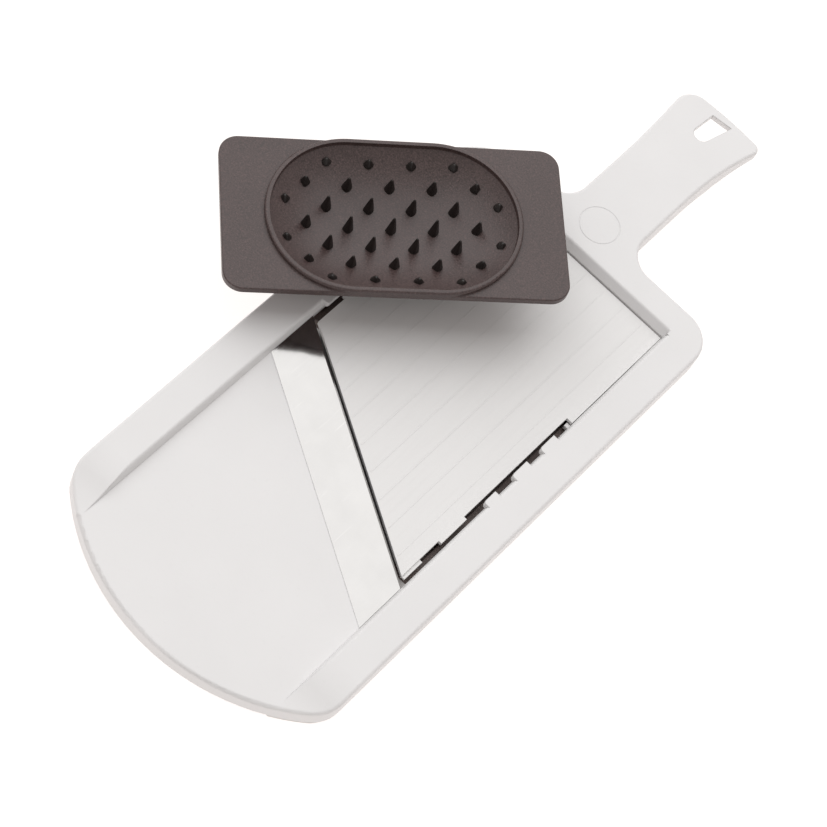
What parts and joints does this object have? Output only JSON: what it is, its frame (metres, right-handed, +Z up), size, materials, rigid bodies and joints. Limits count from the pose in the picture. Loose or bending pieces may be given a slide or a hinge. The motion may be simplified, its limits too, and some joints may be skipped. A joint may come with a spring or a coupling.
{
  "type": "mandoline slicer",
  "caption": "Hand-held mandoline slicer with a skewed steel blade, a wedge-lifted ramp, side rails, a handle with a hanging slot, and a spiked oval hand guard.",
  "frame": {"origin": "middle of the whole object's box, on the surface that the feet stand on", "axes": "+Y from the front tip towards the handle, +X to the right seen from the handle's opposite end with the blade's low end at +X, +Z up"},
  "size_m": [0.1666, 0.312, 0.04],
  "materials": {
    "white_plastic": "satin white moulding with a fine grain",
    "ramp_plastic": "satin white moulding with fine raised lines",
    "blade_steel": "polished stainless strip with fine lengthwise grinding",
    "rivet_steel": "flush steel",
    "screw_steel": "plain steel",
    "spring_steel": "spring steel strip",
    "foot_plastic": "soft-touch white",
    "dark_plastic": "matte dark brown moulding",
    "guard_plastic": "matte warm dark grey moulding with a fine grain",
    "pin_plastic": "dark moulded spikes"
  },
  "bodies": {
    "slicer_frame": {"frame": "white_plastic", "blade": "blade_steel", "blade_carrier": "white_plastic", "blade_rivets": "rivet_steel", "retainer_left": "white_plastic", "retainer_right": "white_plastic", "retainer_screws": "screw_steel", "detent_spring": "spring_steel", "detent_screw": "screw_steel", "front_foot_left": "foot_plastic", "front_foot_right": "foot_plastic", "rear_foot_left": "foot_plastic", "rear_foot_right": "foot_plastic"},
    "lifting_ramp": {"ramp": "ramp_plastic"},
    "adjuster": {"adjuster_slide": "dark_plastic", "adjuster_grip": "dark_plastic", "grip_screws": "screw_steel"},
    "hand_guard": {"guard_plate": "guard_plastic", "guard_grip": "guard_plastic", "guard_pins": "pin_plastic"}
  },
  "joints": [
    {"name": "adjuster_travel", "type": "slide", "parent": "slicer_frame", "child": "adjuster", "axis": [0, 1, 0], "range_m": [0, 0.008]},
    {"name": "ramp_lift", "type": "slide", "parent": "slicer_frame", "child": "lifting_ramp", "axis": [0, 0, -1], "range_m": [0, 0.002]},
    {"name": "guard_lift_off", "type": "slide", "parent": "slicer_frame", "child": "hand_guard", "axis": [0, 0, 1], "range_m": [0, 0.06]}
  ],
  "couplings": [
    {"joint": "ramp_lift", "follows": "adjuster_travel", "ratio": 0.25}
  ]
}
